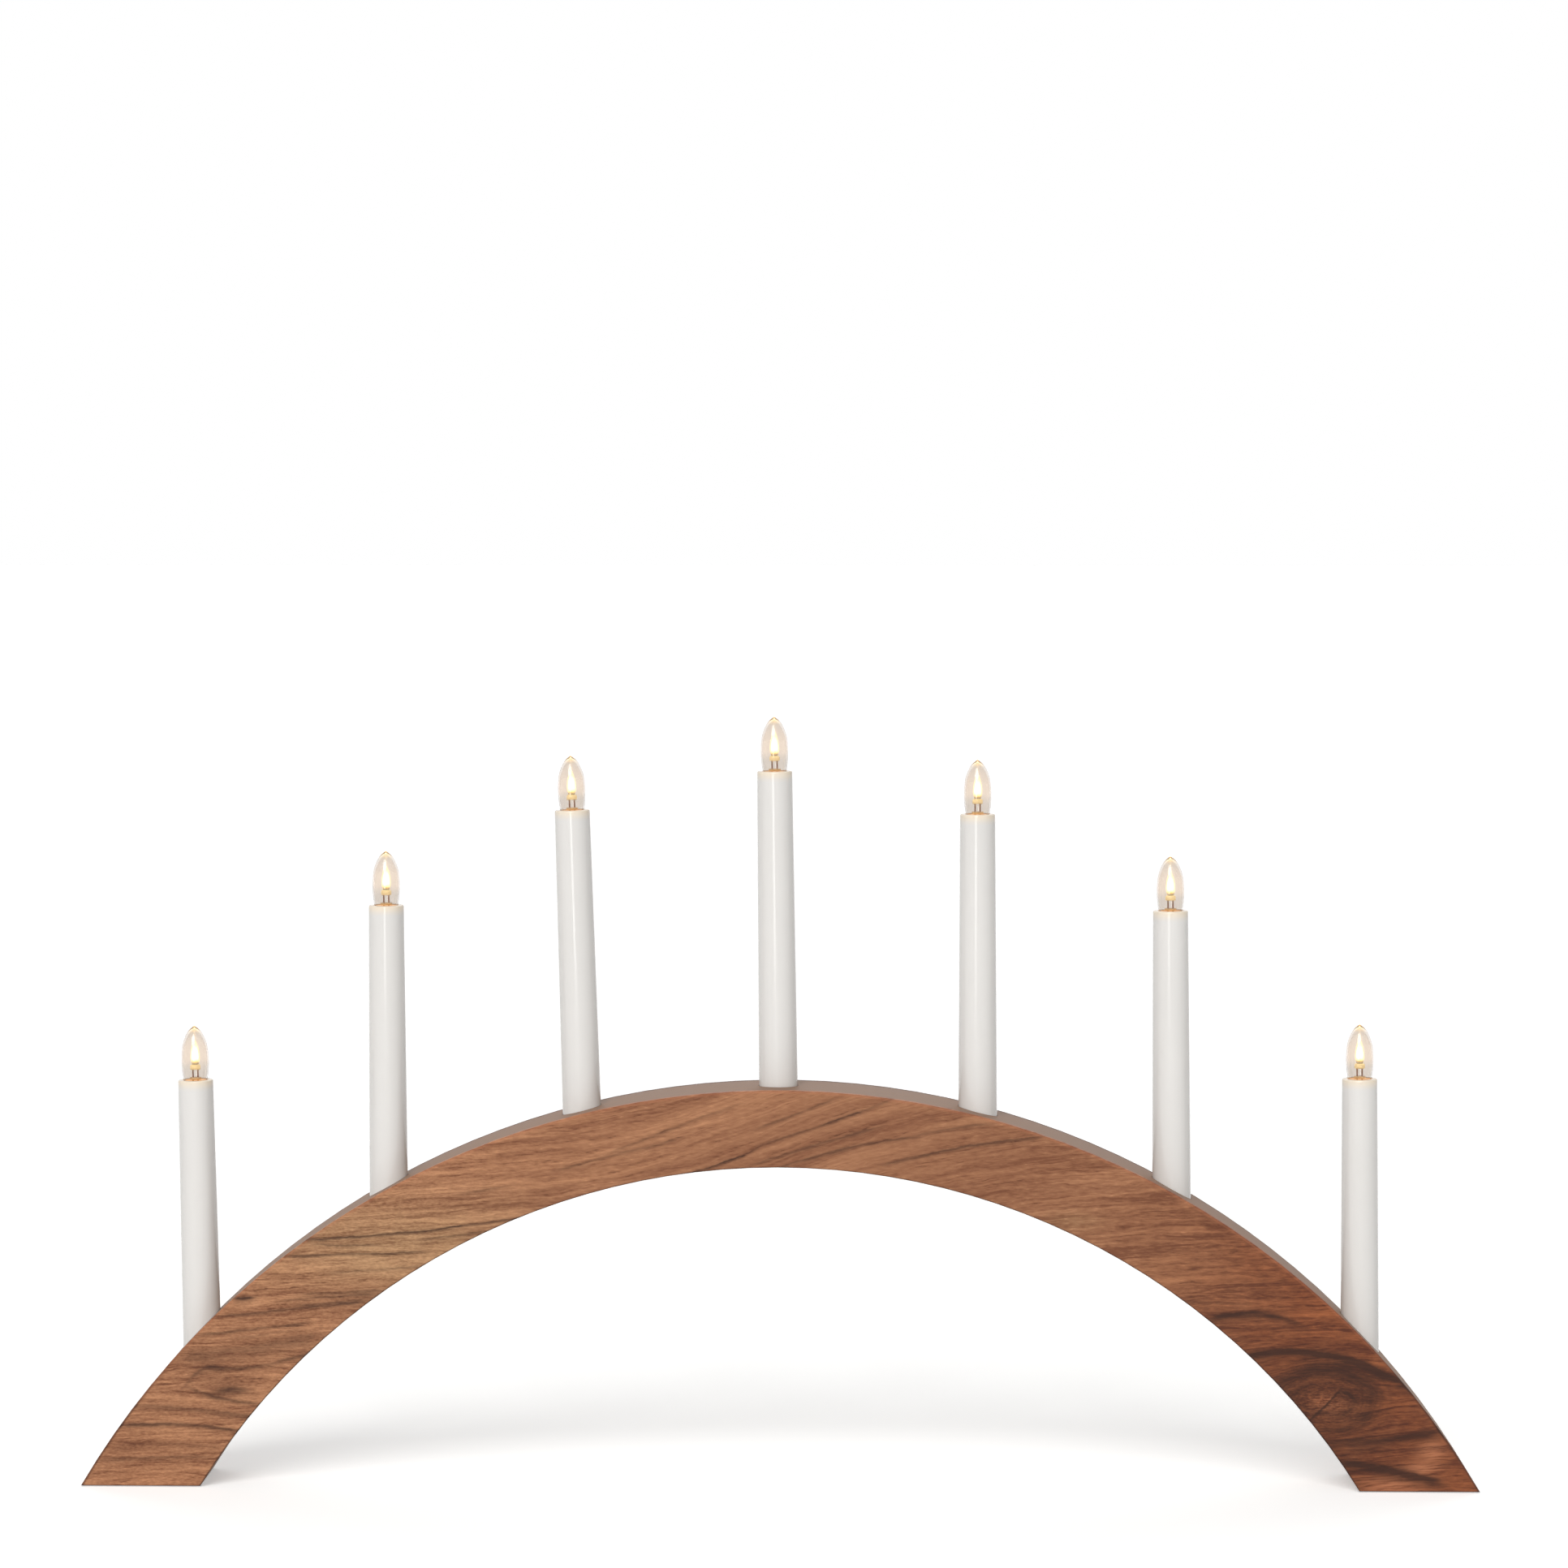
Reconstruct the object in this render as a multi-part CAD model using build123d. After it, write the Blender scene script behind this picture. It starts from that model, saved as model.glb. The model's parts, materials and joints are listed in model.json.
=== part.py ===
from build123d import *
import os
from math import asin, cos, radians, sin, sqrt, tan

# A candle arch: a hollow wooden arch on two feet that carries seven white candle tubes,
# each with a screw-in lamp. Millimetres, +Z up, +X to the right as seen from the front,
# origin on the ground under the middle of the arch.

# Wooden arch
arch_span = 700.0
arch_rise = 200.0
arch_depth = 50.0
foot_width = 60.0
crown_thickness = 38.5
panel_thickness = 4.0
panel_edge_round = 0.5
strip_thickness = 3.0
soffit_thickness = 3.0

# Blocks between the panels
block_width = 34.0
groove_height = 5.0
groove_width = 16.0
seat_floor = 4.0
seat_clearance = 0.2
wire_hole_radius = 6.0

# Felt pads let into the feet
pad_radius = 7.0
pad_thickness = 1.5
pad_proud = 0.5
pad_spread = 24.0
pad_clearance = 0.15

# Candles from left to right: place as a share of half the span, lean in degrees towards +X,
# and depth of the drilled seat under the arch's upper face
candle_place_shares = (-0.8346, -0.5634, -0.2846, -0.0017, 0.2846, 0.5631, 0.834)
candle_leans = (-1.15, -0.3, -1.75, -0.7, -0.15, -0.45, -0.35)
seat_depths = (44.1, 28.5, 19.0, 11.8, 20.8, 30.5, 42.1)

# Candle tube
tube_length = 170.0
tube_top_radius = 8.8
tube_base_radius = 9.8
tube_rim_round = 0.8
tube_bore_radius = 7.0
ledge_depth = 24.0
ledge_thickness = 2.5
ledge_bore_radius = 5.4

# Lamp glass, measured from the tube's rim
glass_height = 27.3
glass_sink = 5.0
glass_radius = 6.85
glass_neck_radius = 6.0
glass_foot_radius = 4.6
glass_wall = 0.7
glass_tip_wall = 1.0
neck_clearance = 0.4
foot_bend_share = 0.7
belly_height_share = 0.32
shoulder_shares = (0.89, 0.66)
taper_shares = (0.63, 0.83)
tip_shares = (0.117, 0.98)

# Lamp cap and its screw thread
thread_pitch = 1.814
unscrew_turns = 2.5
cap_length = 10.0
cap_flange_radius = 4.9
cap_flange_height = 0.8
cap_thread_radius = 4.76
cap_root_radius = 4.3
cap_cone_height = 2.5
cap_tip_radius = 1.9
cap_tip_height = 1.0
ridge_half_share = 0.35

# LED inside the glass, measured from the tube's rim
lead_height = 5.2
lead_radius = 0.4
lead_spacing = 2.5
bead_radius = 3.0
bead_height = 1.0
bead_base = 0.2
collar_radius = 2.6
collar_height = 2.4
collar_round = 0.8
lens_height = 12.4
lens_radius = 2.3
lens_foot_radius = 1.6
lens_belly_share = 0.32
lens_shoulder_shares = (0.72, 0.7)
lens_tip_shares = (0.22, 0.96)

# Lamp holder, its threaded shell and sprung contact
holder_clearance = 0.05
thread_clearance = 0.08
flange_gap = 0.4
shell_wall = 0.35
shell_length = 6.6
chamber_radius = 3.8
guide_length = 4.0
contact_head_radius = 2.2
contact_head_height = 1.2
contact_stem_radius = 1.2
contact_collar_radius = 1.9
contact_collar_height = 1.5
contact_gap = 0.05
spring_inner_radius = 1.45
spring_wall = 0.6

# Wiring, terminal block and cord gland
wire_radius = 0.7
wire_offset = 4.0
wire_lane = 5.0
wire_rise = 8.0
wire_lead = 8.0
lane_step = 10.0
wire_bend = 3.0
wire_bend_most = 40.0
bend_run_share = 0.45
sharp_turn = 45.0
terminal_place_share = 0.729
terminal_size = (16.0, 9.0, 12.0)
terminal_boss_radius = 2.6
terminal_boss_height = 2.0
gland_place_share = 0.66
gland_bore_radius = 3.1
gland_barrel_radius = 5.0
gland_flange_radius = 7.0
gland_flange_thickness = 1.5
gland_lip_radius = 5.8
gland_lip_height = 1.5
gland_clearance = 0.1

# Countersunk screws of the soffit cover
screw_radius = 1.5
screw_length = 14.0
screw_head_radius = 3.0
screw_head_height = 1.6
screw_tip_height = 2.0
screw_sink = 0.2
screw_spread = 28.0
screw_clearance = 0.1
end_screw_inset = 10.0

overrun = 5.0


class Arc:
    """An arc over the middle of the arch, in the XZ plane."""

    def __init__(self, radius, centre_z):
        self.radius = radius
        self.centre_z = centre_z

    def height(self, x):
        return self.centre_z + sqrt(self.radius**2 - x**2)

    def reach(self, z):
        return sqrt(self.radius**2 - (z - self.centre_z) ** 2)

    def grown(self, distance):
        return Arc(self.radius + distance, self.centre_z)


def arc_through(half_width, rise):
    """The arc that stands on the sole at both half widths and has the given rise."""
    radius = (half_width**2 + rise**2) / (2 * rise)
    return Arc(radius, sole_z + rise - radius)


def arch_band(outer, inner, y_low, y_high):
    """The solid between two arcs, cut level at the sole."""
    outer_x = outer.reach(sole_z)
    inner_x = inner.reach(sole_z)
    outline = [
        ThreePointArc((-outer_x, y_low, sole_z), (0, y_low, outer.height(0)), (outer_x, y_low, sole_z)),
        Line((outer_x, y_low, sole_z), (inner_x, y_low, sole_z)),
        ThreePointArc((inner_x, y_low, sole_z), (0, y_low, inner.height(0)), (-inner_x, y_low, sole_z)),
        Line((-inner_x, y_low, sole_z), (-outer_x, y_low, sole_z)),
    ]
    return extrude(make_face(outline), y_high - y_low, dir=(0, 1, 0))


def box_between(low, high):
    """The box from its lowest to its highest corner."""
    size = [b - a for a, b in zip(low, high)]
    return Pos(*low) * Box(*size, align=(Align.MIN, Align.MIN, Align.MIN))


def turned(points):
    """A solid of revolution about Z from the corners (radius, height) of its half section."""
    corners = [(radius, 0, height) for radius, height in points]
    return revolve(make_face(Polyline(*corners, close=True)), Axis.Z)


def ring(inner_radius, outer_radius, low, high):
    """A plain sleeve about Z."""
    return turned([(inner_radius, low), (outer_radius, low), (outer_radius, high), (inner_radius, high)])


def rod(radius, low, high):
    """A plain cylinder about Z."""
    return turned([(0, low), (radius, low), (radius, high), (0, high)])


def arc_edge(start, middle, end):
    """An arc of a half section, from points (radius, height)."""
    return ThreePointArc(*[(radius, 0, height) for radius, height in (start, middle, end)])


def line_edge(start, end):
    """A straight edge of a half section, from points (radius, height)."""
    return Line(*[(radius, 0, height) for radius, height in (start, end)])


# Levels and arcs that several pieces share
sole_z = pad_proud
half_span = arch_span / 2
half_depth = arch_depth / 2
inner_half_depth = half_depth - panel_thickness
outer_arc = arc_through(half_span, arch_rise)
inner_arc = arc_through(half_span - foot_width, arch_rise - crown_thickness)
strip_arc = outer_arc.grown(-strip_thickness)
soffit_arc = inner_arc.grown(soffit_thickness)
groove_arc = soffit_arc.grown(groove_height)
wire_arc = soffit_arc.grown(groove_height / 2)
rise_arc = soffit_arc.grown(wire_rise)

# Levels along a candle's own axis, from its rim at zero
socket_bore_radius = glass_neck_radius + neck_clearance
cap_top = -glass_sink
cap_tip = cap_top - cap_length
holder_top = cap_top - cap_flange_height - flange_gap
holder_base = -ledge_depth
shell_base = holder_top - shell_length
shell_bore_radius = cap_thread_radius + thread_clearance
shell_outer_radius = shell_bore_radius + shell_wall
guide_top = holder_base + guide_length
contact_top = cap_tip - contact_gap
contact_head_base = contact_top - contact_head_height
lamp_lift = thread_pitch * unscrew_turns
contact_collar_top = holder_base - lamp_lift - flange_gap

# Each candle's place on the arch, its frame with the origin at its rim, and its seat's bottom
candle_x = [share * half_span for share in candle_place_shares]
candle_frames = []
seat_z = []
for x, lean, depth in zip(candle_x, candle_leans, seat_depths):
    surface = Pos(x, 0, outer_arc.height(x)) * Rot(0, lean, 0)
    candle_frames.append(surface * Pos(0, 0, tube_length - depth))
    seat_z.append((surface * Pos(0, 0, -depth)).position.Z)
last = len(candle_x) - 1
wire_floor = [
    (wire_arc if number in (0, last) else soffit_arc).height(x) for number, x in enumerate(candle_x)
]


def seat_hole(number):
    """The drilled seat of one candle, open upwards."""
    return candle_frames[number] * rod(tube_base_radius + seat_clearance, -tube_length, 0)


def wire_hole(number):
    """The narrower hole under a seat that lets the wires down into the groove."""
    depth = (seat_z[number] - wire_floor[number]) / cos(radians(candle_leans[number]))
    return candle_frames[number] * rod(wire_hole_radius, -tube_length - depth, -tube_length + overrun)


def screw_place(x, side):
    """The frame of a cover screw: origin on the soffit, Z into the block."""
    centre = Vector(0, 0, inner_arc.centre_z)
    foot = Vector(x, 0, inner_arc.height(x))
    place = foot + Vector(0, side * screw_spread / 2, 0)
    return Plane(origin=place, x_dir=(0, 1, 0), z_dir=foot - centre).location


def screw_xs(number):
    """Where a block's two cover screws stand along X."""
    x = candle_x[number]
    if number == 0:
        return x + end_screw_inset
    if number == last:
        return x - end_screw_inset
    return x


screw_places = [screw_place(screw_xs(n), side) for n in range(len(candle_x)) for side in (-1, 1)]


def screw():
    """A countersunk screw along Z, its head just under the soffit."""
    head_base = screw_sink + screw_head_height
    return turned([
        (0, screw_sink), (screw_head_radius, screw_sink), (screw_radius, head_base),
        (screw_radius, screw_length - screw_tip_height), (0, screw_length),
    ])


def screw_hole():
    """The countersunk hole that clears a screw all round."""
    head = screw_head_radius + screw_clearance
    shank = screw_radius + screw_clearance
    head_base = screw_sink + screw_head_height
    point = screw_length + screw_clearance
    return turned([
        (0, -overrun), (head, -overrun), (head, screw_sink), (shank, head_base),
        (shank, point - screw_tip_height), (0, point),
    ])


def front_panel():
    panel = arch_band(outer_arc, inner_arc, -half_depth, -inner_half_depth)
    return fillet(panel.faces().sort_by(Axis.Y)[0].edges(), panel_edge_round)


def back_panel():
    panel = arch_band(outer_arc, inner_arc, inner_half_depth, half_depth)
    panel = fillet(panel.faces().sort_by(Axis.Y)[-1].edges(), panel_edge_round)
    flange_floor = -gland_flange_thickness
    hole = rod(gland_barrel_radius + gland_clearance, -panel_thickness - overrun, overrun)
    hole += rod(gland_flange_radius + gland_clearance, flange_floor, overrun)
    return panel - gland_place * hole


def top_strip():
    strip = arch_band(outer_arc, strip_arc, -inner_half_depth, inner_half_depth)
    for number in range(len(candle_x)):
        strip -= seat_hole(number)
    return strip


def soffit_cover():
    cover = arch_band(soffit_arc, inner_arc, -inner_half_depth, inner_half_depth)
    for place in screw_places:
        cover -= place * screw_hole()
    return cover


def pad_places():
    """The centres of the felt pads, two under each foot."""
    middle = (soffit_arc.reach(sole_z) + strip_arc.reach(sole_z)) / 2
    return [Pos(x, y, 0) for x in (-middle, middle) for y in (-pad_spread / 2, pad_spread / 2)]


def seat_block(number):
    """One block between the panels; the two end blocks run on to the ground as feet."""
    x = candle_x[number]
    low_x = x - block_width / 2
    high_x = x + block_width / 2
    if number == 0:
        low_x = -half_span
    if number == last:
        high_x = half_span
    top = outer_arc.height(0)
    slab = box_between((low_x, -half_depth, 0), (high_x, half_depth, top))
    block = arch_band(strip_arc, soffit_arc, -inner_half_depth, inner_half_depth) & slab
    half_groove = groove_width / 2
    groove = arch_band(groove_arc, soffit_arc.grown(-overrun), -half_groove, half_groove)
    if number in (0, last):
        reach = abs(x) + wire_hole_radius
        floor = wire_floor[number]
        groove &= box_between((-reach, -half_depth, floor), (reach, half_depth, top))
        pocket_low_x = x - (wire_hole_radius if number == 0 else block_width / 2)
        pocket_high_x = x + (wire_hole_radius if number == last else block_width / 2)
        ceiling = seat_z[number] - seat_floor
        groove += box_between(
            (pocket_low_x, -half_groove, floor), (pocket_high_x, half_groove, ceiling)
        )
    block -= groove
    block -= seat_hole(number)
    block -= wire_hole(number)
    for place in screw_places:
        block -= place * screw_hole()
    for place in pad_places():
        block -= place * rod(pad_radius + pad_clearance, -overrun, pad_thickness)
    return block


def foot_pad():
    return rod(pad_radius, 0, pad_thickness)


def candle_tube():
    ledge_base = -ledge_depth - ledge_thickness
    inset = tube_rim_round * (1 - sqrt(0.5))
    rim = arc_edge(
        (tube_top_radius - tube_rim_round, 0),
        (tube_top_radius - inset, -inset),
        (tube_top_radius, -tube_rim_round),
    )
    wall = [
        (tube_top_radius, -tube_rim_round), (tube_base_radius, -tube_length),
        (tube_bore_radius, -tube_length), (tube_bore_radius, ledge_base),
        (ledge_bore_radius, ledge_base), (ledge_bore_radius, holder_base),
        (socket_bore_radius, holder_base), (socket_bore_radius, 0),
        (tube_top_radius - tube_rim_round, 0),
    ]
    edges = [rim] + [line_edge(a, b) for a, b in zip(wall, wall[1:])]
    return revolve(make_face(edges), Axis.Z)


def lamp_holder():
    outer = socket_bore_radius - holder_clearance
    shell_seat = shell_outer_radius + holder_clearance
    guide = contact_stem_radius + holder_clearance
    return turned([
        (outer, holder_base), (outer, holder_top), (shell_seat, holder_top),
        (shell_seat, shell_base), (chamber_radius, shell_base), (chamber_radius, guide_top),
        (guide, guide_top), (guide, holder_base),
    ])


def socket_shell():
    return ring(shell_bore_radius, shell_outer_radius, shell_base, holder_top)


def centre_contact():
    collar_base = contact_collar_top - contact_collar_height
    return turned([
        (0, contact_top), (contact_head_radius, contact_top),
        (contact_head_radius, contact_head_base), (contact_stem_radius, contact_head_base),
        (contact_stem_radius, contact_collar_top), (contact_collar_radius, contact_collar_top),
        (contact_collar_radius, collar_base), (0, collar_base),
    ])


def contact_spring():
    outer = spring_inner_radius + spring_wall
    return ring(spring_inner_radius, outer, guide_top, contact_head_base - contact_gap)


def glass_outline(wall, tip_wall):
    """The lamp glass's outline from its foot to its tip, drawn in by the wall."""
    radius = glass_radius - wall
    height = glass_height - tip_wall
    foot = (glass_foot_radius - wall, -glass_sink)
    neck = (glass_neck_radius - wall, 0)
    bend = (foot[0] + (neck[0] - foot[0]) * foot_bend_share, -glass_sink / 2)
    belly = (radius, belly_height_share * height)
    shoulder = (shoulder_shares[0] * radius, shoulder_shares[1] * height)
    taper = (taper_shares[0] * radius, taper_shares[1] * height)
    tip_side = (tip_shares[0] * radius, tip_shares[1] * height)
    tip = (0, height)
    tip_drop = tip[1] - tip_side[1]
    tip_radius = (tip_side[0] ** 2 + tip_drop**2) / (2 * tip_drop)
    half_angle = asin(tip_side[0] / tip_radius) / 2
    tip_bend = (tip_radius * sin(half_angle), height - tip_radius * (1 - cos(half_angle)))
    edges = [
        arc_edge(foot, bend, neck),
        arc_edge(neck, belly, shoulder),
        arc_edge(shoulder, taper, tip_side),
        arc_edge(tip_side, tip_bend, tip),
    ]
    return edges, foot, tip


def lamp_glass():
    outer, outer_foot, outer_tip = glass_outline(0, 0)
    inner, inner_foot, inner_tip = glass_outline(glass_wall, glass_tip_wall)
    ends = [line_edge(outer_tip, inner_tip), line_edge(inner_foot, outer_foot)]
    return revolve(make_face(outer + inner + ends), Axis.Z)


def lamp_cap():
    """The screw cap: its thread is drawn as ridges one pitch apart."""
    thread_top = cap_top - cap_flange_height
    cone_top = cap_tip + cap_tip_height + cap_cone_height
    ridges = int((thread_top - cone_top) / thread_pitch)
    half_ridge = ridge_half_share * thread_pitch
    start = (cap_root_radius, thread_top)
    edges = [
        line_edge((0, cap_top), (cap_flange_radius, cap_top)),
        line_edge((cap_flange_radius, cap_top), (cap_flange_radius, thread_top)),
        line_edge((cap_flange_radius, thread_top), start),
    ]
    for ridge in range(ridges):
        middle = thread_top - (ridge + 0.5) * thread_pitch
        above = (cap_root_radius, middle + half_ridge)
        below = (cap_root_radius, middle - half_ridge)
        edges.append(line_edge(start, above))
        edges.append(arc_edge(above, (cap_thread_radius, middle), below))
        start = below
    corners = [
        start, (cap_root_radius, cone_top), (cap_tip_radius, cap_tip + cap_tip_height),
        (cap_tip_radius, cap_tip), (0, cap_tip), (0, cap_top),
    ]
    edges += [line_edge(a, b) for a, b in zip(corners, corners[1:])]
    return revolve(make_face(edges), Axis.Z)


def lamp_led():
    """The LED's flame-shaped lens, its collar, and its two leads in a bead."""
    leads = rod(bead_radius, bead_base, bead_base + bead_height)
    for side in (-1, 1):
        leads += Pos(side * lead_spacing / 2, 0, 0) * rod(lead_radius, cap_top, lead_height)
    lens_base = lead_height + collar_height
    collar = rod(collar_radius, lead_height, lens_base)
    collar = fillet(collar.edges().filter_by(GeomType.CIRCLE).sort_by(Axis.Z)[-1], collar_round)
    foot = (lens_foot_radius, lens_base)
    belly = (lens_radius, lens_base + lens_belly_share * lens_height)
    shoulder = (lens_shoulder_shares[0] * lens_radius, lens_base + lens_shoulder_shares[1] * lens_height)
    tip_side = (lens_tip_shares[0] * lens_radius, lens_base + lens_tip_shares[1] * lens_height)
    tip = (0, lens_base + lens_height)
    edges = [
        line_edge((0, lens_base), foot),
        arc_edge(foot, belly, shoulder),
        line_edge(shoulder, tip_side),
        line_edge(tip_side, tip),
        line_edge(tip, (0, lens_base)),
    ]
    lens = revolve(make_face(edges), Axis.Z)
    return Compound(children=[leads.solid(), collar.solid(), lens.solid()])


def wire_end(number, side):
    """A wire's first two points: at the lamp holder's base, then down in the wire groove."""
    frame = candle_frames[number]
    start = (frame * Pos(side * wire_offset, 0, holder_base)).position
    foot = (frame * Pos(side * wire_offset, 0, -tube_length)).position
    bottom = wire_arc.height(foot.X)
    if (number, side) in ((0, -1), (last, 1)):
        bottom = wire_floor[number] + 2 * wire_radius
    depth = (foot.Z - bottom) / cos(radians(candle_leans[number]))
    turn = (frame * Pos(side * wire_offset, 0, -tube_length - depth)).position
    return [start, turn]


def lane_point(x, arc, lane):
    return Vector(x, lane, arc.height(x))


def bend_radii(points):
    """Each bend as large as its runs allow, but tight where a wire turns inside a block."""
    radii = []
    for a, b, c in zip(points, points[1:], points[2:]):
        turn = (b - a).get_angle(c - b)
        run = min((b - a).length, (c - b).length)
        largest = bend_run_share * run / tan(radians(turn) / 2)
        radii.append(min(largest, wire_bend if turn > sharp_turn else wire_bend_most))
    return radii


def wire(points):
    """A round wire along straight runs and tangent arcs."""
    path = FilletPolyline(*points, radius=bend_radii(points))
    section = Plane(origin=path @ 0, z_dir=path % 0) * Circle(wire_radius)
    return sweep(section, path=path)


def link_wire(number):
    """The wire from one lamp holder to the next."""
    first = wire_end(number, 1)
    second = wire_end(number + 1, -1)
    middle = lane_point((first[1].X + second[1].X) / 2, rise_arc, 0)
    return wire(first + [middle] + second[::-1])


def supply_wires():
    """The wires from the terminal block to the two outermost lamp holders."""
    near = wire_end(last, 1)
    near.append(lane_point(candle_x[last] - lane_step, wire_arc, wire_lane))
    near.append(lane_point(candle_x[last] - block_width / 2 - wire_lead, wire_arc, wire_lane))
    near.append(terminal_centre + Vector(terminal_size[0] / 2 + wire_lead, 0, 0))
    near.append(terminal_centre + Vector(terminal_size[0] / 2, 0, 0))
    far = wire_end(0, -1)
    far.append(lane_point(candle_x[0] + lane_step, wire_arc, wire_lane))
    for number in range(1, last):
        between = (candle_x[number - 1] + candle_x[number]) / 2
        far.append(lane_point(between, rise_arc, wire_lane))
        far.append(lane_point(candle_x[number], wire_arc, wire_lane))
    far.append(lane_point(candle_x[last - 1] + block_width / 2 + wire_lead, wire_arc, wire_lane))
    far.append(terminal_centre - Vector(terminal_size[0] / 2 + wire_lead, 0, 0))
    far.append(terminal_centre - Vector(terminal_size[0] / 2, 0, 0))
    return [wire(near), wire(far)]


def terminal_block():
    """A two-pole connector on the back panel's inner face."""
    body = Box(*terminal_size)
    boss = rod(terminal_boss_radius, 0, terminal_size[1] / 2 + terminal_boss_height)
    facing = Rot(90, 0, 0)
    for side in (-1, 1):
        body += Pos(side * terminal_size[0] / 4, 0, 0) * facing * boss
    return Pos(*terminal_centre) * body


def cord_gland():
    """A flush bush in the back panel with a lip behind the panel; Z points out of the panel."""
    lip_top = -panel_thickness - gland_clearance
    lip_base = lip_top - gland_lip_height
    flange_base = -gland_flange_thickness
    return gland_place * turned([
        (gland_bore_radius, 0), (gland_flange_radius, 0), (gland_flange_radius, flange_base),
        (gland_barrel_radius, flange_base), (gland_barrel_radius, lip_top),
        (gland_lip_radius, lip_top), (gland_lip_radius, lip_base), (gland_bore_radius, lip_base),
    ])


def mid_height(x):
    """Half-way up the hollow inside the arch."""
    return (strip_arc.height(x) + soffit_arc.height(x)) / 2


gland_x = gland_place_share * half_span
gland_place = Plane(origin=(gland_x, half_depth, mid_height(gland_x)), z_dir=(0, 1, 0)).location
terminal_x = terminal_place_share * half_span
terminal_centre = Vector(terminal_x, inner_half_depth - terminal_size[1] / 2, mid_height(terminal_x))


def group(shapes):
    """Separate solids that share one node."""
    return Compound(children=[solid for shape in shapes for solid in shape.solids()])


nodes = {
    "front_panel": front_panel(),
    "back_panel": back_panel(),
    "top_strip": top_strip(),
    "soffit_cover": soffit_cover(),
    "seat_blocks": group(seat_block(number) for number in range(len(candle_x))),
    "foot_pads": group(place * foot_pad() for place in pad_places()),
    "cover_screws": group(place * screw() for place in screw_places),
    "series_wires": group([link_wire(number) for number in range(last)] + supply_wires()),
    "terminal_block": terminal_block(),
    "cord_gland": cord_gland(),
    "contact_springs": group(frame * contact_spring() for frame in candle_frames),
}
candle_pieces = {
    "candle_tube": candle_tube(),
    "lamp_holder": lamp_holder(),
    "socket_shell": socket_shell(),
    "centre_contact": centre_contact(),
    "lamp_glass": lamp_glass(),
    "lamp_cap": lamp_cap(),
    "lamp_led": lamp_led(),
}
for piece, shape in candle_pieces.items():
    for number, frame in enumerate(candle_frames, start=1):
        nodes[f"{piece}_{number}"] = frame * shape

os.makedirs("parts", exist_ok=True)
for name, shape in nodes.items():
    export_step(shape, f"parts/{name}.step")
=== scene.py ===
import json
from math import cos, pi, radians, sin

import bpy
from mathutils import Matrix, Vector


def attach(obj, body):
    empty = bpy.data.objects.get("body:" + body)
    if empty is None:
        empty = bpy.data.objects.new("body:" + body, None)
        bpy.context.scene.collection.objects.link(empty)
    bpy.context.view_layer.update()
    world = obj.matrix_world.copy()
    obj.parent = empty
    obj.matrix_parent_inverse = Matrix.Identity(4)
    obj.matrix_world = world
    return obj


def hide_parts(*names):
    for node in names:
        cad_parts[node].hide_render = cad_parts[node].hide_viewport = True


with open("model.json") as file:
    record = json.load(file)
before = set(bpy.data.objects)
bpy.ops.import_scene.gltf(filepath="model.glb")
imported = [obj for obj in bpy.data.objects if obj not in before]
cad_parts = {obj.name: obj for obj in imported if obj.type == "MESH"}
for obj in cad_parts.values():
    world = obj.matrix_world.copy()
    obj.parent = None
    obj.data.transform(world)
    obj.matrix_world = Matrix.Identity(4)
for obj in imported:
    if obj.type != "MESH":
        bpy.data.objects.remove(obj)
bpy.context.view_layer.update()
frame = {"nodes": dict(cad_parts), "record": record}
nodes = frame["nodes"]
scene = bpy.context.scene
candles = range(1, 8)

# Camera, in metres and degrees, for a square picture
CAMERA_PLACE = (0.0559, -2.45, 0.4807)
CAMERA_YAW = -1.257
CAMERA_PITCH = 3.002
CAMERA_ROLL = 0.027
CAMERA_LENS = 112.35
SENSOR_WIDTH = 36.0

MM = 0.001
WHITE = (1.0, 1.0, 1.0, 1.0)


def linear(red, green, blue):
    """A colour given as it looks on screen, 0 to 255, as shader values."""
    shares = [value / 255 for value in (red, green, blue)]
    return [s / 12.92 if s <= 0.04045 else ((s + 0.055) / 1.055) ** 2.4 for s in shares] + [1.0]


class Number:
    """A value that varies over a surface, kept as a node's output."""

    def __init__(self, paint, socket):
        self.paint = paint
        self.socket = socket

    def __add__(self, other):
        return self.paint.math("ADD", self, other)

    def __radd__(self, other):
        return self.paint.math("ADD", other, self)

    def __sub__(self, other):
        return self.paint.math("SUBTRACT", self, other)

    def __rsub__(self, other):
        return self.paint.math("SUBTRACT", other, self)

    def __mul__(self, other):
        return self.paint.math("MULTIPLY", self, other)

    def __truediv__(self, other):
        return self.paint.math("DIVIDE", self, other)

    def __rtruediv__(self, other):
        return self.paint.math("DIVIDE", other, self)

    def times_plus(self, factor, term):
        return self.paint.math("MULTIPLY_ADD", self, factor, term)

    def squared(self):
        return self.paint.math("MULTIPLY", self, self)

    def least(self, other):
        return self.paint.math("MINIMUM", self, other)

    def most(self, other):
        return self.paint.math("MAXIMUM", self, other)


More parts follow.
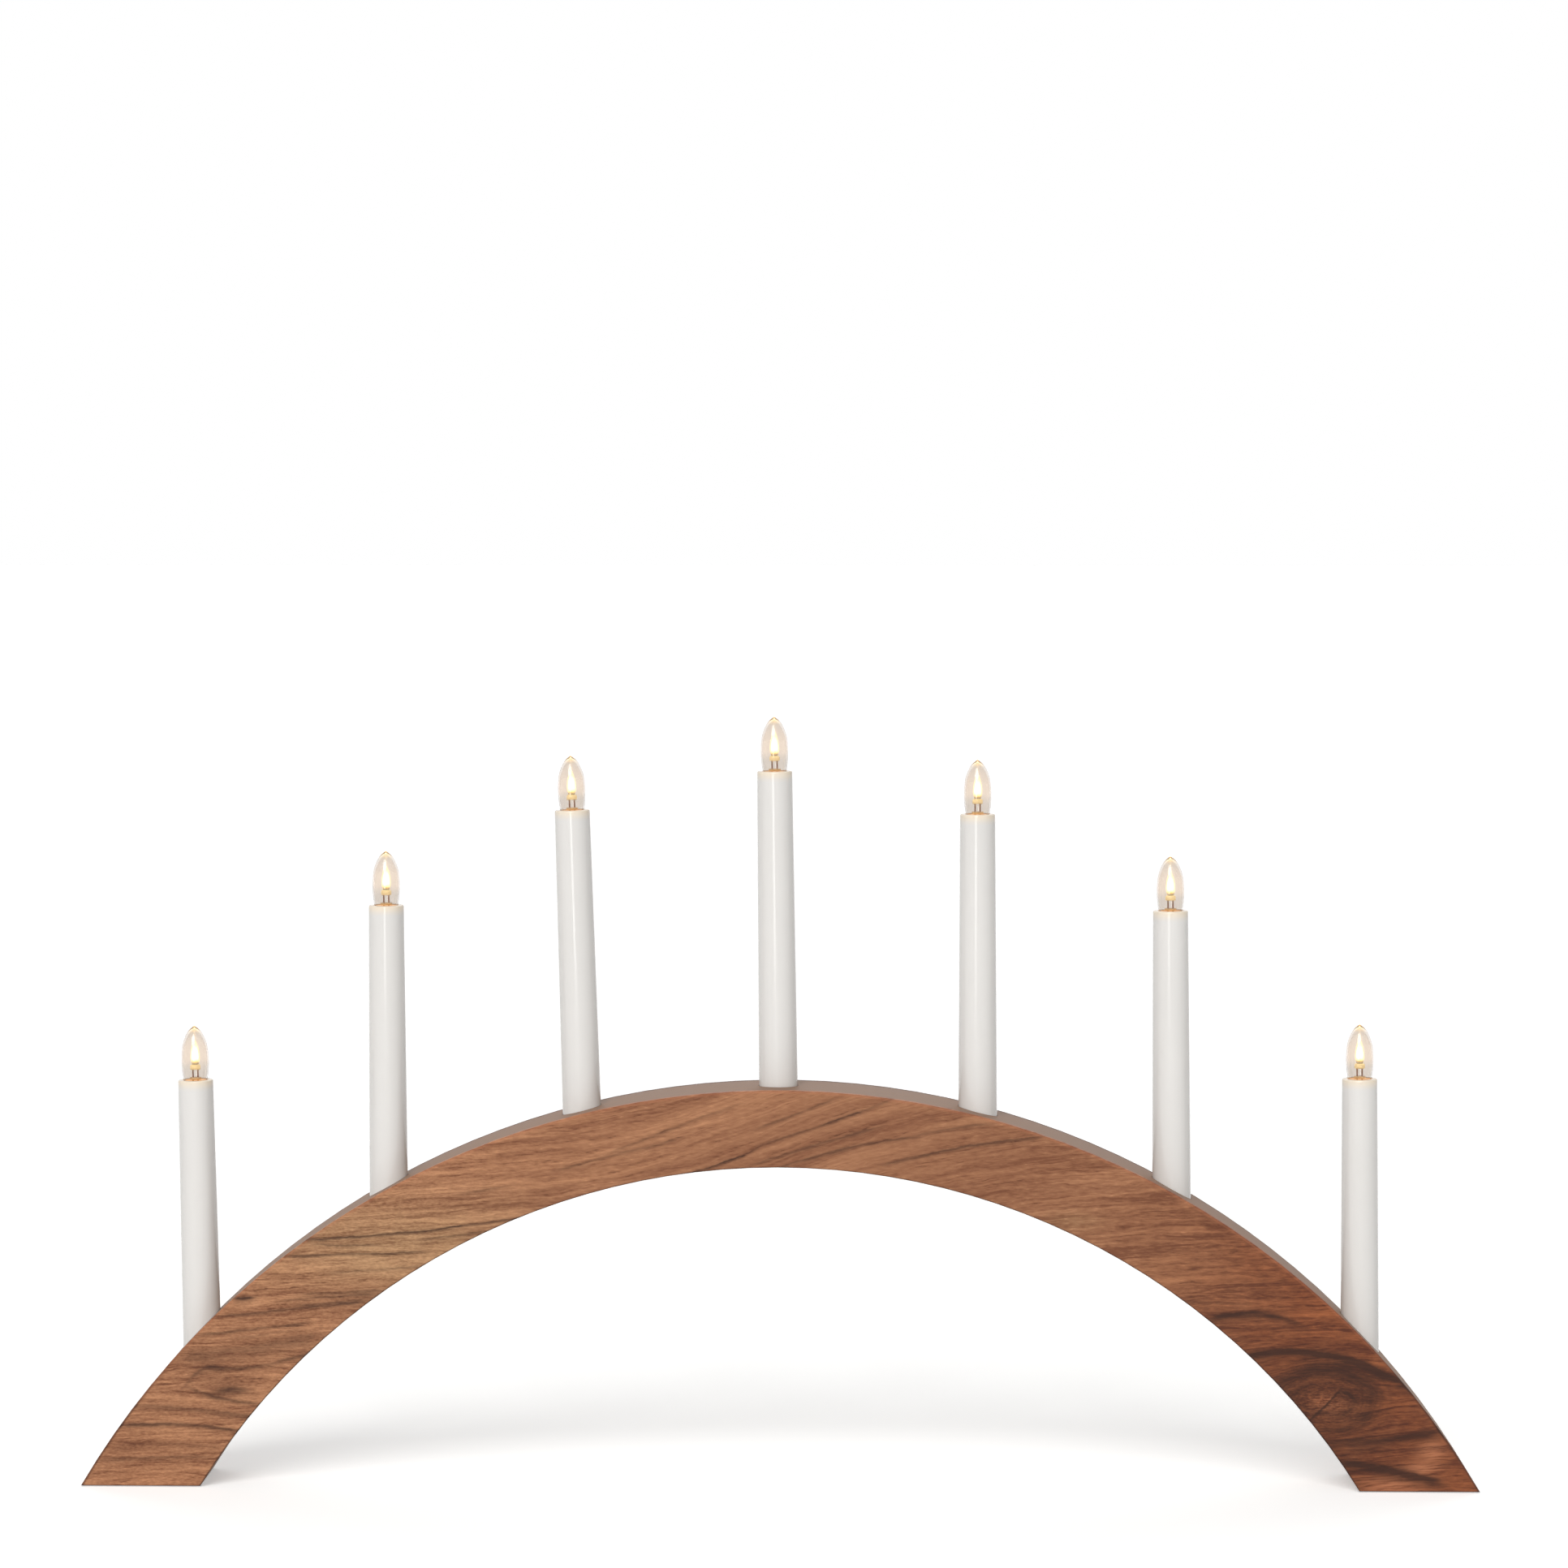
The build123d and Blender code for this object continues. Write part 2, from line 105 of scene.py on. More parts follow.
class Paint:
    """One node material and the tools to build its colours."""

    def __init__(self, name):
        self.material = bpy.data.materials.new(name)
        self.material.use_nodes = True
        self.tree = self.material.node_tree
        self.shader = self.tree.nodes["Principled BSDF"]

    def join(self, value, socket):
        if isinstance(value, Number):
            value = value.socket
        if isinstance(value, bpy.types.NodeSocket):
            self.tree.links.new(value, socket)
        else:
            socket.default_value = value

    def node(self, kind, inputs=None, **settings):
        node = self.tree.nodes.new(kind)
        for key, value in settings.items():
            setattr(node, key, value)
        for key, value in (inputs or {}).items():
            self.join(value, node.inputs[key])
        return node

    def math(self, operation, *values):
        node = self.node("ShaderNodeMath", dict(enumerate(values)), operation=operation)
        return Number(self, node.outputs[0])

    def place(self):
        """The three coordinates of a point in millimetres."""
        source = self.node("ShaderNodeTexCoord").outputs["Object"]
        split = self.node("ShaderNodeSeparateXYZ", {"Vector": source})
        return [Number(self, split.outputs[axis]) * (1 / MM) for axis in "XYZ"]

    def height_share(self):
        """How far up its mesh's box a point is, from 0 to 1."""
        source = self.node("ShaderNodeTexCoord").outputs["Generated"]
        split = self.node("ShaderNodeSeparateXYZ", {"Vector": source})
        return Number(self, split.outputs["Z"])

    def facing(self, blend):
        """How far the surface turns away, for glass: 0 seen square on, 1 seen edge on."""
        return Number(self, self.node("ShaderNodeLayerWeight", {"Blend": blend}).outputs["Facing"])

    def noise(self, place, rates, detail=2.0, roughness=0.5, distortion=0.0):
        """A noise from 0 to 1 that changes along three coordinates at three rates."""
        point = [value * rate for value, rate in zip(place, rates)]
        inputs = {
            "Vector": self.node("ShaderNodeCombineXYZ", dict(enumerate(point))).outputs[0],
            "Scale": 1.0, "Detail": detail, "Roughness": roughness, "Distortion": distortion,
        }
        return Number(self, self.node("ShaderNodeTexNoise", inputs).outputs["Fac"])

    def step(self, value, low, high, out_low=0.0, out_high=1.0):
        """A smooth change from one value to another between two limits."""
        inputs = {
            "Value": value, "From Min": low, "From Max": high, "To Min": out_low, "To Max": out_high,
        }
        node = self.node("ShaderNodeMapRange", inputs, interpolation_type="SMOOTHSTEP")
        return Number(self, node.outputs["Result"])

    def mix(self, share, first, second):
        """Two colours mixed by a share."""
        node = self.node("ShaderNodeMix", data_type="RGBA", clamp_factor=True)
        self.join(share, node.inputs["Factor"])
        colours = [socket for socket in node.inputs if socket.type == "RGBA"]
        self.join(first, colours[0])
        self.join(second, colours[1])
        return [socket for socket in node.outputs if socket.type == "RGBA"][0]

    def bump(self, height, distance, strength):
        inputs = {"Height": height, "Distance": distance, "Strength": strength}
        return self.node("ShaderNodeBump", inputs).outputs["Normal"]

    def finish(self, **inputs):
        """Sets the shader's own inputs, such as base_color or roughness."""
        for key, value in inputs.items():
            self.join(value, self.shader.inputs[key.replace("_", " ").title().replace("Ior", "IOR")])
        return self.material


# Wood of the two panels. Grain runs level, climbs to the right over the crown, and parts around knots.
GRAIN_SLOPE = 0.03
CROWN_CLIMB = 29.7
CROWN_REACH = 90.0
# Knots as centre, half width and half height, and how far the grain parts
KNOTS = (
    ((271.0, 46.5), (34.0, 21.0), 0.85),
    ((-272.0, 52.0), (26.0, 9.0), 0.7),
)
# How fast each noise changes per millimetre: along the arch, through its depth, up or across the grain
WAVER_RATES = (0.02, 0.05, 0.16)
RIPPLE_RATES = (0.08, 0.1, 0.22)
LINE_WAVER_RATES = (0.045, 0.1, 0.12)
LINE_FUZZ_RATES = (0.35, 0.5, 0.8)
UNEVEN_RATES = (0.04, 0.1, 0.4)
SLOW_RATES = (0.008, 0.02, 0.08)
BAND_RATES = (0.011, 0.03, 0.26)
FIBRE_RATES = (0.045, 0.3, 0.95)
FLECK_RATES = (0.2, 0.8, 0.9)
MOTTLE_RATES = (0.05, 0.05, 0.06)
SPECKLE_RATES = (0.5, 0.8, 1.4)
NOISE_MEAN = 0.5
# How far slow and quick wavers move the grain and the dark lines, in millimetres
GRAIN_WAVER = 6.0
GRAIN_RIPPLE = 2.6
LINE_WAVER = 2.4
LINE_FUZZ = 1.0
# Dark growth lines: three points on the line in millimetres, then half width and strength
STREAKS = (
    ((-270.5, 95.4), (-267.5, 95.6), (-264.5, 95.9), 1.1, 2.2),
    ((-249.8, 93.9), (-223.6, 96.5), (-199.8, 97.6), 0.8, 0.5),
    ((-281.4, 86.2), (-249.4, 89.3), (-208.0, 93.9), 0.8, 0.62),
    ((-290.0, 76.9), (-264.9, 79.5), (-236.0, 83.4), 0.8, 0.62),
    ((-272.0, 75.6), (-256.0, 77.6), (-238.0, 80.2), 0.6, 0.35),
    ((-299.0, 65.5), (-264.0, 70.4), (-230.0, 76.9), 3.6, 0.45),
    ((-284.0, 60.2), (-259.7, 61.4), (-234.0, 68.0), 1.0, 0.6),
    ((-296.5, 52.5), (-291.5, 57.6), (-280.0, 60.6), 1.6, 0.6),
    ((-294.0, 49.6), (-280.0, 45.4), (-258.0, 42.0), 1.0, 0.6),
    ((-281.0, 49.0), (-275.2, 49.8), (-267.0, 49.2), 1.6, 0.8),
    ((-322.0, 41.0), (-288.6, 38.8), (-260.0, 35.2), 1.3, 0.6),
    ((-330.0, 31.0), (-304.0, 31.6), (-268.0, 28.6), 1.0, 0.8),
    ((-340.0, 13.4), (-312.0, 15.0), (-284.0, 15.6), 1.0, 0.4),
    ((-334.0, 21.0), (-306.0, 21.8), (-276.0, 20.4), 1.8, 0.22),
    ((-244.0, 125.0), (-200.0, 127.8), (-160.0, 132.0), 0.7, 0.85),
    ((-166.0, 131.2), (-146.0, 133.6), (-120.0, 137.6), 0.7, 0.75),
    ((-178.0, 125.6), (-163.0, 127.2), (-146.0, 129.2), 0.7, 0.6),
    ((-231.0, 122.9), (-215.0, 122.5), (-200.0, 122.6), 0.7, 0.65),
    ((-246.0, 117.0), (-208.0, 117.8), (-178.0, 119.0), 0.7, 0.7),
    ((-224.0, 108.8), (-200.0, 110.0), (-176.0, 112.2), 0.7, 0.5),
    ((-238.0, 97.8), (-218.0, 98.6), (-196.0, 99.8), 0.9, 0.55),
    ((-240.0, 91.8), (-222.0, 93.4), (-204.0, 95.6), 0.9, 0.6),
    ((-158.0, 148.4), (-148.0, 150.2), (-136.0, 152.6), 0.8, 0.4),
    ((-84.0, 169.4), (-50.0, 182.8), (-20.0, 193.4), 0.8, 0.4),
    ((-110.0, 161.0), (-80.0, 168.6), (-50.0, 176.6), 0.9, 0.45),
    ((-48.0, 158.4), (-32.0, 162.8), (-12.0, 171.0), 0.6, 0.9),
    ((-10.0, 181.8), (12.0, 190.2), (28.0, 196.6), 0.7, 0.5),
    ((-8.0, 173.4), (18.0, 182.4), (44.0, 191.2), 0.7, 0.55),
    ((-12.0, 163.8), (18.0, 173.2), (50.0, 182.4), 0.7, 0.6),
    ((0.0, 161.8), (30.0, 171.0), (68.0, 177.2), 0.7, 0.65),
    ((22.0, 183.8), (40.0, 190.4), (58.0, 197.0), 0.7, 0.4),
    ((54.0, 164.0), (92.0, 172.8), (132.0, 177.8), 0.7, 0.7),
    ((68.0, 178.2), (86.0, 181.8), (106.0, 184.4), 0.8, 0.45),
    ((214.0, 86.0), (238.7, 89.8), (260.0, 84.0), 2.0, 1.0),
    ((200.0, 95.6), (216.0, 95.2), (234.0, 94.6), 1.0, 0.4),
    ((232.0, 68.0), (266.0, 70.6), (314.0, 53.0), 2.2, 1.15),
    ((270.0, 25.2), (298.0, 26.0), (330.0, 31.0), 2.6, 0.85),
    ((279.0, 15.2), (300.0, 12.6), (331.0, 4.8), 2.6, 1.15),
    ((265.0, 36.6), (271.0, 42.0), (278.0, 49.0), 0.8, 0.9),
    ((277.0, 48.6), (283.0, 50.0), (288.0, 46.0), 0.7, 0.5),
)
STREAK_FADE = 7.0
# Below its middle a growth line fades at this share of its rate above
STREAK_BELOW = 0.5
# Growth lines are this much narrower at most, and less so where the noise is high
LINE_NARROWING = 1.6
LINE_WIDENING = -1.1
# Each growth line's place takes in this little of the lines before it, so they are worked out in turn
ORDER_SHARE = 1e-6
# Rings about the large knot, as shares of the knot's size: place, half width and strength
RINGS = (
    (1.42, 0.05, 0.2), (1.22, 0.06, 0.32), (1.11, 0.03, 0.2), (1.0, 0.15, 0.75), (0.87, 0.03, 0.25),
    (0.78, 0.04, 0.35), (0.68, 0.03, 0.25), (0.58, 0.07, 0.6), (0.49, 0.025, 0.25), (0.4, 0.05, 0.4),
    (0.31, 0.025, 0.25), (0.22, 0.06, 0.35),
)
RING_SIZE = (24.5, 14.8)
RING_CENTRE = (271.5, 46.0)
RING_WAVER = 0.3
# Soft patches as centre, half width and half height, and strength
GOLD_PATCHES = (((-190.0, 122.0), (70.0, 22.0), 1.0), ((146.0, 135.5), (14.0, 4.5), 0.6))
GOLD_LEAST = 0.45
GOLD_MOTTLE = 0.7
WARM_PATCHES = (
    ((326.0, 21.0), (7.0, 5.0), 1.0), ((320.0, 11.5), (9.0, 3.5), 1.0), ((306.0, 4.0), (16.0, 4.5), 1.0),
)
HEART_PATCHES = (((274.0, 44.0), (10.0, 6.0), 0.6),)
TONE_PATCHES = (
    ((-60.0, 170.0), (100.0, 80.0), -0.12), ((95.0, 165.0), (50.0, 60.0), -0.09),
    ((-236.0, 103.0), (24.0, 12.0), -0.15), ((212.0, 105.0), (22.0, 14.0), -0.08),
    ((150.0, 148.0), (36.0, 20.0), 0.09),
)
CALM_PATCHES = (((36.0, 178.0), (80.0, 45.0), 0.4),)
LIVELY_PATCHES = (((272.0, 46.0), (24.0, 15.0), 2.2),)
EYE_PATCHES = (((-277.0, 51.5), (15.0, 6.5), 0.2),)
# The wood's tone: how much each noise counts, what centres their sum, and what lightens or darkens it
SLOW_TONE = 0.9
BAND_TONE = 1.2
FIBRE_TONE = 1.35
FLECK_TONE = 0.9
TONE_SHIFT = 1.7
DASH_TONE = 0.3
CALM_TONE = 0.36
# Darker towards the right: partly darker wood, partly painted shade where less light falls
RIGHT_TONE_AND_SHADE = 0.17
RIGHT_SIDE = (-140.0, 200.0)
# Where the fine grain is livelier, from right to left, and how much each noise adds there
LIVELY_SIDE = (-90.0, -200.0)
LIVELY_FIBRE = 0.6
LIVELY_SPECKLE = 1.0
# Where the wood turns red, from left to right; the change leans by this share of the height
RED_SIDE = (95.0, 245.0)
RED_LEAN = 0.35
RED_LEAST = 0.7
RED_MOTTLE = 0.6
# The panels' arcs: radius and height of the centre, and how far in from an edge the wood darkens or
# takes the painted highlight
OUTER_ARC = (406.25, -206.25)
INNER_ARC = (341.12, -179.62)
EDGE_RANGE = (1.3, 0.3)
FOOT_RANGE = (90.0, 30.0)
# Share of the painted highlight along the upper arc, where a rounded edge catches light
UPPER_HIGHLIGHT_SHARE = 0.22
EDGE_SHARE = 0.65
PORE_SHARE = 0.35
MOST_DARK = 0.92
FIBRE_RELIEF = 0.6
FLECK_RELIEF = 0.3

WOOD_LIGHT = linear(194, 139, 100)
WOOD_DEEP = linear(122, 75, 50)
WOOD_GOLD_LIGHT = linear(203, 162, 119)
WOOD_GOLD_DEEP = linear(136, 98, 67)
WOOD_RED_LIGHT = linear(167, 98, 59)
WOOD_RED_DEEP = linear(85, 42, 25)
WOOD_PINK = linear(184, 118, 82)
# Colour of the painted highlight along the panels' upper edge
WOOD_PAINTED_HIGHLIGHT = linear(190, 118, 86)
WOOD_DARK = linear(52, 27, 17)
WOOD_GLOSS = 0.25


def curve_through(points):
    """The height of a line through three points as square, slope and offset of x."""
    (x1, z1), (x2, z2), (x3, z3) = points
    first = (z2 - z1) / (x2 - x1)
    second = ((z3 - z2) / (x3 - x2) - first) / (x3 - x1)
    return second, first - second * (x1 + x2), z1 - first * x1 + second * x1 * x2


def spot(paint, x, z, centre, half_size):
    """A soft round patch: 1 at its centre, falling off over its half width and half height."""
    side = (x - centre[0]) / half_size[0]
    rise = (z - centre[1]) / half_size[1]
    return paint.math("EXPONENT", (side.squared() + rise.squared()) * -1.0)


def patches(paint, x, z, rows):
    """The sum of soft patches."""
    total = None
    for centre, half_size, strength in rows:
        patch = spot(paint, x, z, centre, half_size) * strength
        total = patch if total is None else total + patch
    return total


def wood_grain(paint, x, y, z):
    """The height of a point across the grain, which climbs, parts around knots and wavers."""
    grain = z - x * GRAIN_SLOPE - paint.math("TANH", x / CROWN_REACH) * CROWN_CLIMB
    for centre, half_size, parting in KNOTS:
        grain = grain - spot(paint, x, z, centre, half_size) * (z - centre[1]) * parting
    waver = paint.noise((x, y, grain), WAVER_RATES)
    ripple = paint.noise((x, y, z), RIPPLE_RATES)
    return grain + (waver - NOISE_MEAN) * GRAIN_WAVER + (ripple - NOISE_MEAN) * GRAIN_RIPPLE


def growth_lines(paint, x, y, z, mottle):
    """The dark growth lines and the rings about the large knot, as one strength."""
    waver = paint.noise((x, y, z), LINE_WAVER_RATES)
    fuzz = paint.noise((x, y, z), LINE_FUZZ_RATES, detail=1.0)
    line_z = z + (waver - NOISE_MEAN) * LINE_WAVER + (fuzz - NOISE_MEAN) * LINE_FUZZ
    uneven = paint.noise((x, y, z), UNEVEN_RATES, detail=3.0, roughness=0.6)
    thin = uneven.times_plus(LINE_WIDENING, LINE_NARROWING)
    lines = None
    for start, middle, end, half_width, strength in STREAKS:
        square, slope, offset = curve_through((start, middle, end))
        here = x if lines is None else lines.times_plus(ORDER_SHARE, x)
        height = here.times_plus(square, slope) * here + offset
        away = (line_z - height) * thin / half_width
        away = away.most(away * -STREAK_BELOW)
        core = strength / (away.squared() + 1.0).squared()
        window = paint.step(here, start[0] - STREAK_FADE, start[0] + STREAK_FADE)
        window = window * paint.step(here, end[0] + STREAK_FADE, end[0] - STREAK_FADE)
        core = core * window
        lines = core if lines is None else lines + core
    ring_x = (x - RING_CENTRE[0]) / RING_SIZE[0]
    ring_z = (line_z - RING_CENTRE[1]) / RING_SIZE[1]
    radius = paint.math("SQRT", ring_x.squared() + ring_z.squared())
    radius = radius + (mottle - NOISE_MEAN) * RING_WAVER
    for place, half_width, strength in RINGS:
        away = (radius - place) / half_width
        lines = lines + strength / (away.squared() + 1.0)
    return lines * paint.step(uneven, low=0.25, high=0.6, out_low=0.6)


def near_arc(paint, x, z, arc, inward):
    """1 along an arc of the panel, falling to 0 a little way inside it."""
    arc_radius, centre_z = arc
    out = paint.math("SQRT", x.squared() + (z - centre_z).squared())
    return paint.step((out - arc_radius) * inward, *EDGE_RANGE)


def wood(name, mirror, painted_top_shade):
    """Oiled wood with dark growth lines, darker along its lower edges and with a painted highlight along
    the upper arc; a mirrored copy faces the back, with painted shade along its upper edge.
    """
    paint = Paint(name)
    x, y, z = paint.place()
    x = x * mirror
    grain = wood_grain(paint, x, y, z)
    slow = paint.noise((x, y, grain), SLOW_RATES)
    bands = paint.noise((x, y, grain), BAND_RATES, detail=3.0, roughness=0.55)
    fibres = paint.noise((x, y, grain), FIBRE_RATES, detail=4.0, roughness=0.62)
    flecks = paint.noise((x, y, z), FLECK_RATES, roughness=0.6)
    mottle = paint.noise((x, y, z), MOTTLE_RATES, detail=3.0)
    speckle = paint.noise((x, y, z), SPECKLE_RATES)
    tone = slow * SLOW_TONE + bands * BAND_TONE + fibres * FIBRE_TONE + flecks * FLECK_TONE - TONE_SHIFT
    light_dash = paint.step(flecks, low=0.6, high=0.78) * paint.step(fibres, low=0.45, high=0.6)
    # Light flecks; darker towards the right, partly darker wood and partly painted shade
    tone = tone + light_dash * DASH_TONE - paint.step(x, *RIGHT_SIDE) * RIGHT_TONE_AND_SHADE
    lively = (fibres - NOISE_MEAN) * LIVELY_FIBRE + (speckle - NOISE_MEAN) * LIVELY_SPECKLE
    tone = tone + lively * (paint.step(x, *LIVELY_SIDE) + patches(paint, x, z, LIVELY_PATCHES))
    tone = tone + patches(paint, x, z, TONE_PATCHES)
    tone = tone + (CALM_TONE - tone) * patches(paint, x, z, CALM_PATCHES)

    common = paint.mix(tone, WOOD_DEEP, WOOD_LIGHT)
    golden = paint.mix(tone, WOOD_GOLD_DEEP, WOOD_GOLD_LIGHT)
    reddish = paint.mix(tone, WOOD_RED_DEEP, WOOD_RED_LIGHT)
    gold = patches(paint, x, z, GOLD_PATCHES)
    colour = paint.mix(gold * (GOLD_LEAST + mottle * GOLD_MOTTLE), common, golden)
    redness = paint.step(x - z * RED_LEAN, *RED_SIDE)
    colour = paint.mix(redness * (RED_LEAST + mottle * RED_MOTTLE), colour, reddish)
    knot_heart = patches(paint, x, z, HEART_PATCHES) * paint.step(flecks, low=0.35, high=0.65)
    warmth = patches(paint, x, z, WARM_PATCHES) * paint.step(fibres, low=0.3, high=0.6)
    colour = paint.mix(warmth + knot_heart, colour, WOOD_PINK)

    upper = near_arc(paint, x, z, OUTER_ARC, inward=-1.0)
    lower = near_arc(paint, x, z, INNER_ARC, inward=1.0)
    feet = paint.step(z, *FOOT_RANGE)
    # Darker along the lower arc, the bottom and the feet's outer edges; on the back copy, painted shade
    # along the whole upper edge
    edge = lower + paint.step(z, *EDGE_RANGE) + upper * feet.most(painted_top_shade)
    # Painted highlight along the upper arc, where a rounded edge catches light
    colour = paint.mix(upper * UPPER_HIGHLIGHT_SHARE, colour, WOOD_PAINTED_HIGHLIGHT)
    pores = paint.step(fibres, low=0.42, high=0.3) * paint.step(flecks, low=0.55, high=0.4)
    dark = pores * PORE_SHARE + growth_lines(paint, x, y, z, mottle) + edge * EDGE_SHARE
    dark = dark + patches(paint, x, z, EYE_PATCHES)
    colour = paint.mix(dark.least(MOST_DARK), colour, WOOD_DARK)

    relief = fibres * FIBRE_RELIEF + flecks * FLECK_RELIEF
    return paint.finish(
        base_color=colour, specular_ior_level=WOOD_GLOSS,
        roughness=paint.step(fibres, low=0.2, high=0.8, out_low=0.62, out_high=0.48),
        normal=paint.bump(relief, distance=0.12 * MM, strength=0.5),
    )


# The strip's grain follows its arc: the height of the arc's centre and its radius
STRIP_CENTRE = -206.0
STRIP_RADIUS = 380.0
STRIP_DEEP = linear(126, 97, 77)
STRIP_LIGHT = linear(154, 123, 102)
STRIP_CLOUD = linear(139, 111, 92)


def stained_strip(name):
    """A thin stained strip bent along the arch, with fine grain along its length."""
    paint = Paint(name)
    x, y, z = paint.place()
    along = paint.math("ARCTAN2", x, z - STRIP_CENTRE) * STRIP_RADIUS
    fibres = paint.noise((along, y, 0.0), rates=(0.03, 0.9, 1.0), detail=5.0, roughness=0.65)
    cloud = paint.noise((along, y, 3.0), rates=(0.02, 0.06, 1.0), detail=3.0)
    colour = paint.mix(paint.step(fibres, low=0.25, high=0.75), STRIP_DEEP, STRIP_LIGHT)
    colour = paint.mix(cloud * 0.35, colour, STRIP_CLOUD)
    return paint.finish(
        base_color=colour, specular_ior_level=WOOD_GLOSS,
        roughness=paint.step(fibres, low=0.2, high=0.8, out_low=0.5, out_high=0.68),
        normal=paint.bump(fibres, distance=0.1 * MM, strength=0.4),
    )


BLOCK_DEEP = linear(206, 168, 120)
BLOCK_LIGHT = linear(224, 194, 150)
BLOCK_PORE = linear(170, 126, 82)


def sawn_wood(name):
    """Plain light wood of the blocks."""
    paint = Paint(name)
    place = paint.place()
    rings = paint.noise(place, rates=(0.02, 0.25, 0.12), detail=5.0, roughness=0.6, distortion=0.4)
    pores = paint.noise(place, rates=(0.1, 1.5, 0.8), detail=3.0)
    colour = paint.mix(paint.step(rings, low=0.35, high=0.65), BLOCK_DEEP, BLOCK_LIGHT)
    colour = paint.mix(paint.step(pores, low=0.6, high=0.75) * 0.4, colour, BLOCK_PORE)
    return paint.finish(
        base_color=colour, roughness=0.7, normal=paint.bump(rings, distance=0.2 * MM, strength=0.4),
    )


TUBE_DEEP = linear(226, 224, 221)
TUBE_LIGHT = linear(232, 230, 227)
TUBE_PAINTED_GLOW = linear(255, 232, 196)


def tube_plastic(name):
    """Glossy white moulded plastic, with the lamp's warm light painted on near the rim."""
    paint = Paint(name)
    place = paint.place()
    swirl = paint.noise(place, rates=(0.05, 0.05, 0.02), detail=3.0)
    specks = paint.noise(place, rates=(2.0, 2.0, 0.5))
    colour = paint.mix(swirl, TUBE_DEEP, TUBE_LIGHT)
    # The lamp's warm light, painted into the colour near the rim
    painted_rim_glow = paint.step(paint.height_share(), low=0.965, high=1.0)
    colour = paint.mix(painted_rim_glow * 0.55, colour, TUBE_PAINTED_GLOW)
    return paint.finish(
        base_color=colour, specular_ior_level=0.45,
        roughness=paint.step(swirl, low=0.3, high=0.7, out_low=0.08, out_high=0.12),
        normal=paint.bump(specks, distance=0.02 * MM, strength=0.25),
    )


def moulded(name, first, second, rough):
    """Plain moulded plastic with a faintly uneven colour."""
    paint = Paint(name)
    place = paint.place()
    cloud = paint.noise(place, rates=(0.15, 0.15, 0.15), detail=4.0)
    grit = paint.noise(place, rates=(1.5, 1.5, 1.5))
    return paint.finish(
        base_color=paint.mix(cloud, linear(*first), linear(*second)),
        roughness=paint.step(grit, low=0.3, high=0.7, out_low=rough - 0.06, out_high=rough + 0.06),
        normal=paint.bump(grit, distance=0.03 * MM, strength=0.3),
    )


HOLDER_LIGHT = linear(238, 230, 214)
HOLDER_DEEP = linear(226, 214, 194)
HOLDER_GLOW = linear(255, 206, 150)


def lit_holder(name):
    """Pale plastic of the lamp holder, with a painted glow at its upper end where the lamp shines
    through.
    """
    paint = Paint(name)
    cloud = paint.noise(paint.place(), rates=(0.15, 0.15, 0.15), detail=4.0)
    shine = paint.step(paint.height_share(), low=0.55, high=1.0)
    return paint.finish(
        base_color=paint.mix(cloud, HOLDER_LIGHT, HOLDER_DEEP),
        roughness=paint.step(cloud, low=0.3, high=0.7, out_low=0.38, out_high=0.48),
        emission_color=HOLDER_GLOW, emission_strength=shine * 0.45,
    )


def metal(name, first, second, rough):
    """Bright metal with fine turning marks."""
    paint = Paint(name)
    place = paint.place()
    turning = paint.noise(place, rates=(0.2, 0.2, 6.0), detail=3.0)
    tarnish = paint.noise(place, rates=(0.4, 0.4, 0.4), detail=4.0)
    colour = paint.mix(paint.step(tarnish, low=0.35, high=0.7), linear(*first), linear(*second))
    return paint.finish(
        base_color=colour, metallic=1.0,
        roughness=paint.step(turning, low=0.3, high=0.7, out_low=rough - 0.05, out_high=rough + 0.08),
        normal=paint.bump(turning, distance=0.02 * MM, strength=0.3),
    )


FELT_DEEP = linear(44, 36, 32)
FELT_LIGHT = linear(84, 70, 62)


def felt(name):
    """Dark wool felt."""
    paint = Paint(name)
    fuzz = paint.noise(paint.place(), rates=(2.2, 2.2, 2.2), detail=5.0, roughness=0.7, distortion=0.6)
    colour = paint.mix(paint.step(fuzz, low=0.3, high=0.7), FELT_DEEP, FELT_LIGHT)
    return paint.finish(
        base_color=colour, roughness=0.95, normal=paint.bump(fuzz, distance=0.4 * MM, strength=0.8),
    )


# Lamp glass, drawn finer than the frame's: radius and height above the tube's rim, in millimetres
GLASS_OUTLINE = (
    (4.6, -5.0), (5.62, -2.5), (6.0, 0.0), (6.6, 4.2), (6.85, 8.74), (6.68, 13.4), (6.1, 18.0),
    (4.32, 22.7), (2.55, 25.2), (0.8, 26.7), (0.0, 27.2),
)
GLASS_FOOT = GLASS_OUTLINE[0][1]
GLASS_TOP = GLASS_OUTLINE[-1][1]
# Where the glass's neck meets the tube's rim, as a share of the glass's height
NECK_SHARE = -GLASS_FOOT / (GLASS_TOP - GLASS_FOOT)
NECK_BLEND = 0.02
GLASS_WALL = 0.7
GLASS_TIP_WALL = 1.1
# The least radius of the hollow, where its top closes
HOLLOW_TOP_RADIUS = 0.5
GLASS_STEPS = 6
GLASS_SIDES = 96
GLASS_CLEAR = linear(232, 226, 220)
GLASS_EDGE_SHADE = linear(136, 130, 130)
GLASS_TIP = linear(246, 220, 150)
GLASS_CEMENT = linear(246, 228, 206)
GLASS_GLOW = linear(255, 214, 168)
GLASS_TIP_GLOW = linear(255, 206, 110)
# Strengths of the lamp's light painted as glow in the glass: faint haze, tip and cement at the neck
HAZE_GLOW = 0.05
TIP_GLOW = 0.2
CEMENT_GLOW = 0.45
